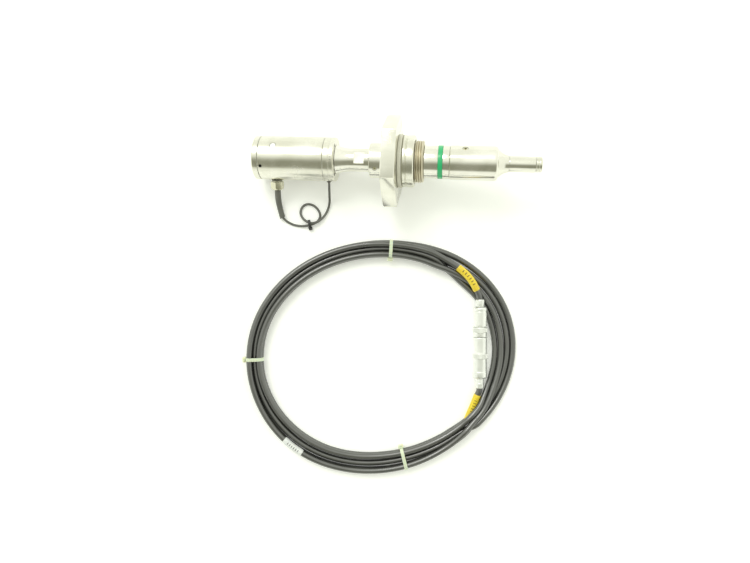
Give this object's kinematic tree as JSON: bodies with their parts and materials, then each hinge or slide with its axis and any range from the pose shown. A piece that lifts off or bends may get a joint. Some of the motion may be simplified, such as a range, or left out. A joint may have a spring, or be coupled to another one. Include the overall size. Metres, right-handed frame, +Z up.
{
  "type": "flame sensor probe",
  "caption": "Stainless flame sensor probe with a rear housing, threaded hex mounting fitting, green band and sight tube, and its coiled black lead with mated push-pull connectors.",
  "frame": {"origin": "on the table, under the middle of the probe's own box", "axes": "+X along the probe towards its sight tube, +Z up from the table, -Y towards the coiled lead; the probe's axis is pitched up 7.75 degrees at its tip, because it rests on its hexagon and its cap's edge"},
  "size_m": [0.2925, 0.3691, 0.0813],
  "materials": {
    "satin_steel": "satin turned stainless steel with fine lines round it",
    "polished_steel": "finely turned stainless steel",
    "thread_steel": "dull machined thread, slightly browned",
    "dark_screw": "blackened steel",
    "nickel": "nickel plated",
    "matte_chrome": "matte chrome plated",
    "green_band": "bright green enamel",
    "terminal_green": "moulded plastic",
    "circuit_board": "solder mask",
    "brass": "turned brass",
    "optical_glass": "clear polished",
    "seal_rubber": "matte black rubber",
    "gasket": "pale fibre gasket",
    "black_plastic": "matte black",
    "cord_black": "matte black heat-shrink and thin cord",
    "lead_jacket": "satin black cable jacket",
    "insulator": "moulded insulator",
    "yellow_sleeve": "yellow slip-on sleeve",
    "white_sleeve": "white slip-on sleeve",
    "natural_nylon": "natural nylon"
  },
  "bodies": {
    "probe": {"end_cap": "satin_steel", "housing_sleeve": "satin_steel", "front_ring": "satin_steel", "sight_tube_lip": "satin_steel", "board_carrier": "satin_steel", "sleeve_plug": "polished_steel", "neck_tube": "polished_steel", "adapter_collar": "polished_steel", "body_tube": "polished_steel", "tip_housing": "polished_steel", "sight_tube": "polished_steel", "cap_set_screw_near": "dark_screw", "cap_set_screw_low": "dark_screw", "shoulder_screw_1": "dark_screw", "shoulder_screw_2": "dark_screw", "lens_cell": "dark_screw", "gland_body": "nickel", "gland_nut": "nickel", "photocell": "nickel", "collar_screw": "nickel", "tip_set_screw": "nickel", "rear_receptacle": "matte_chrome", "plug_collet_nut": "matte_chrome", "plug_shell": "matte_chrome", "socket_shell": "matte_chrome", "socket_collet_nut": "matte_chrome", "green_band": "green_band", "terminal_block": "terminal_green", "amplifier_board": "circuit_board", "board_standoff_1": "brass", "board_standoff_2": "brass", "quartz_window": "optical_glass", "collecting_lens": "optical_glass", "cap_o_ring": "seal_rubber", "front_o_ring": "seal_rubber", "swivel_o_ring": "seal_rubber", "window_o_ring": "seal_rubber", "gland_seal": "seal_rubber", "entry_grommet": "seal_rubber", "photocell_holder": "black_plastic", "sensor_lead": "black_plastic", "pigtail_tie": "black_plastic", "heat_shrink_sleeve": "cord_black", "pigtail_cord": "cord_black", "lead_coil": "lead_jacket", "lead_end_plug": "lead_jacket", "lead_end_socket": "lead_jacket", "plug_insert": "insulator", "socket_insert": "insulator", "yellow_marker_plug": "yellow_sleeve", "yellow_marker_socket": "yellow_sleeve", "white_marker": "white_sleeve", "coil_tie_top": "natural_nylon", "coil_tie_left": "natural_nylon", "coil_tie_bottom": "natural_nylon"},
    "mounting_fitting": {"mounting_hex": "polished_steel", "sealing_gasket": "gasket", "flange_ring": "satin_steel", "threaded_spigot": "thread_steel"},
    "plug_latch": {"latch_sleeve": "matte_chrome"}
  },
  "joints": [
    {"name": "fitting_swivel", "type": "hinge", "parent": "probe", "child": "mounting_fitting", "pos_m": [-0.00235, 0, 0.04062], "axis": [0.9909, 0, 0.1349], "continuous": true},
    {"name": "latch_slide", "type": "slide", "parent": "probe", "child": "plug_latch", "axis": [-0.0506, 0.998, 0.0384], "range_m": [0, 0.0012], "stiffness_N_per_m": 400}
  ]
}
